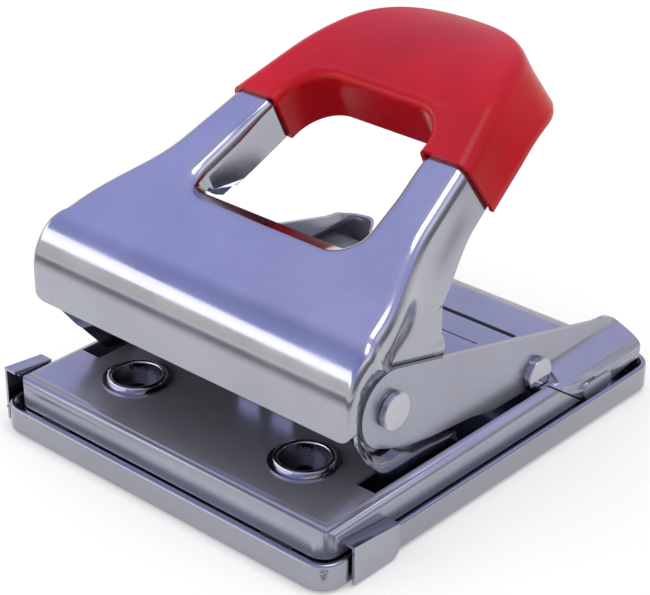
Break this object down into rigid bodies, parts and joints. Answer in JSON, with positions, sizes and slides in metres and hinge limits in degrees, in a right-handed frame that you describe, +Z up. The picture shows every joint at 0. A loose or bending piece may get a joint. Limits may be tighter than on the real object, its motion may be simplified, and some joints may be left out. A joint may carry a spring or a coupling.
{
  "type": "two-hole desk punch",
  "caption": "Sheet-steel desk punch: looped lever with a plastic grip presses paired spring-loaded punches through collared dies over a hinged chip tray.",
  "frame": {"origin": "under the middle of the tray, on the table", "axes": "+X to the right seen from the paper side, +Y from the paper side to the back, +Z up"},
  "size_m": [0.1596, 0.1818, 0.129],
  "materials": {
    "chrome_sheet": "bright chrome plate on pressed sheet steel, fine wear and cloudy patches",
    "chrome_trim": "bright turned steel with chrome plate",
    "steel_pin": "turned steel, light grease",
    "tool_steel": "dark blued steel, satin",
    "spring_steel": "drawn spring wire",
    "red_plastic": "glossy red moulded plastic with fine dust marks",
    "rubber": "matt black rubber"
  },
  "bodies": {
    "tray": {"chip_tray": "chrome_sheet", "tray_clip_left": "chrome_sheet", "tray_clip_right": "chrome_sheet", "foot_front_left": "rubber", "foot_front_right": "rubber", "foot_rear_left": "rubber", "foot_rear_right": "rubber", "rest_pad_left": "rubber", "rest_pad_right": "rubber"},
    "base": {"base_plate": "chrome_sheet", "hinge_pin_left": "steel_pin", "hinge_pin_right": "steel_pin", "die_collar_left": "chrome_trim", "die_collar_right": "chrome_trim", "die_insert_left": "tool_steel", "die_insert_right": "tool_steel", "punch_guide": "tool_steel", "guide_bush_left": "steel_pin", "guide_bush_right": "steel_pin", "guide_rivet_left": "steel_pin", "guide_rivet_right": "steel_pin", "guide_rivet_left_2": "steel_pin", "guide_rivet_right_2": "steel_pin", "front_pin_left": "chrome_trim", "front_pin_right": "chrome_trim", "rear_pin_left": "chrome_trim", "rear_pin_right": "chrome_trim", "rear_spacer_left": "steel_pin", "rear_spacer_right": "steel_pin", "return_spring_left": "spring_steel", "return_spring_right": "spring_steel"},
    "lever": {"lever_shell": "chrome_sheet", "pivot_bush_left": "steel_pin", "pivot_bush_right": "steel_pin", "presser_bar": "steel_pin", "presser_sleeve_left": "steel_pin", "presser_sleeve_right": "steel_pin", "grip_cap": "red_plastic"},
    "yoke": {"presser_yoke": "tool_steel"},
    "punch_unit_left": {"punch_left": "steel_pin", "punch_head_left": "tool_steel", "spring_seat_left": "steel_pin"},
    "punch_unit_right": {"punch_right": "steel_pin", "punch_head_right": "tool_steel", "spring_seat_right": "steel_pin"}
  },
  "joints": [
    {"name": "base_hinge", "type": "hinge", "parent": "tray", "child": "base", "pos_m": [0, 0.0591, 0.012], "axis": [-1, 0, 0], "range_deg": [0, 20]},
    {"name": "lever_pivot", "type": "hinge", "parent": "base", "child": "lever", "pos_m": [0, -0.0454, 0.045], "axis": [-1, 0, 0], "range_deg": [0, 22], "stiffness_Nm_per_rad": 2.5, "springref_deg": -20.05},
    {"name": "yoke_pivot", "type": "hinge", "parent": "base", "child": "yoke", "pos_m": [0, 0.0321, 0.025], "axis": [1, 0, 0], "range_deg": [0, 12.5]},
    {"name": "punch_slide_left", "type": "slide", "parent": "base", "child": "punch_unit_left", "axis": [0, 0, -1], "range_m": [0, 0.0196], "deforming": ["return_spring_left"]},
    {"name": "punch_slide_right", "type": "slide", "parent": "base", "child": "punch_unit_right", "axis": [0, 0, -1], "range_m": [0, 0.0196], "deforming": ["return_spring_right"]}
  ],
  "couplings": [
    {"joint": "yoke_pivot", "follows": "lever_pivot", "ratio": 0.55},
    {"joint": "punch_slide_left", "follows": "lever_pivot", "m_per_rad": 0.05},
    {"joint": "punch_slide_right", "follows": "lever_pivot", "m_per_rad": 0.05}
  ]
}
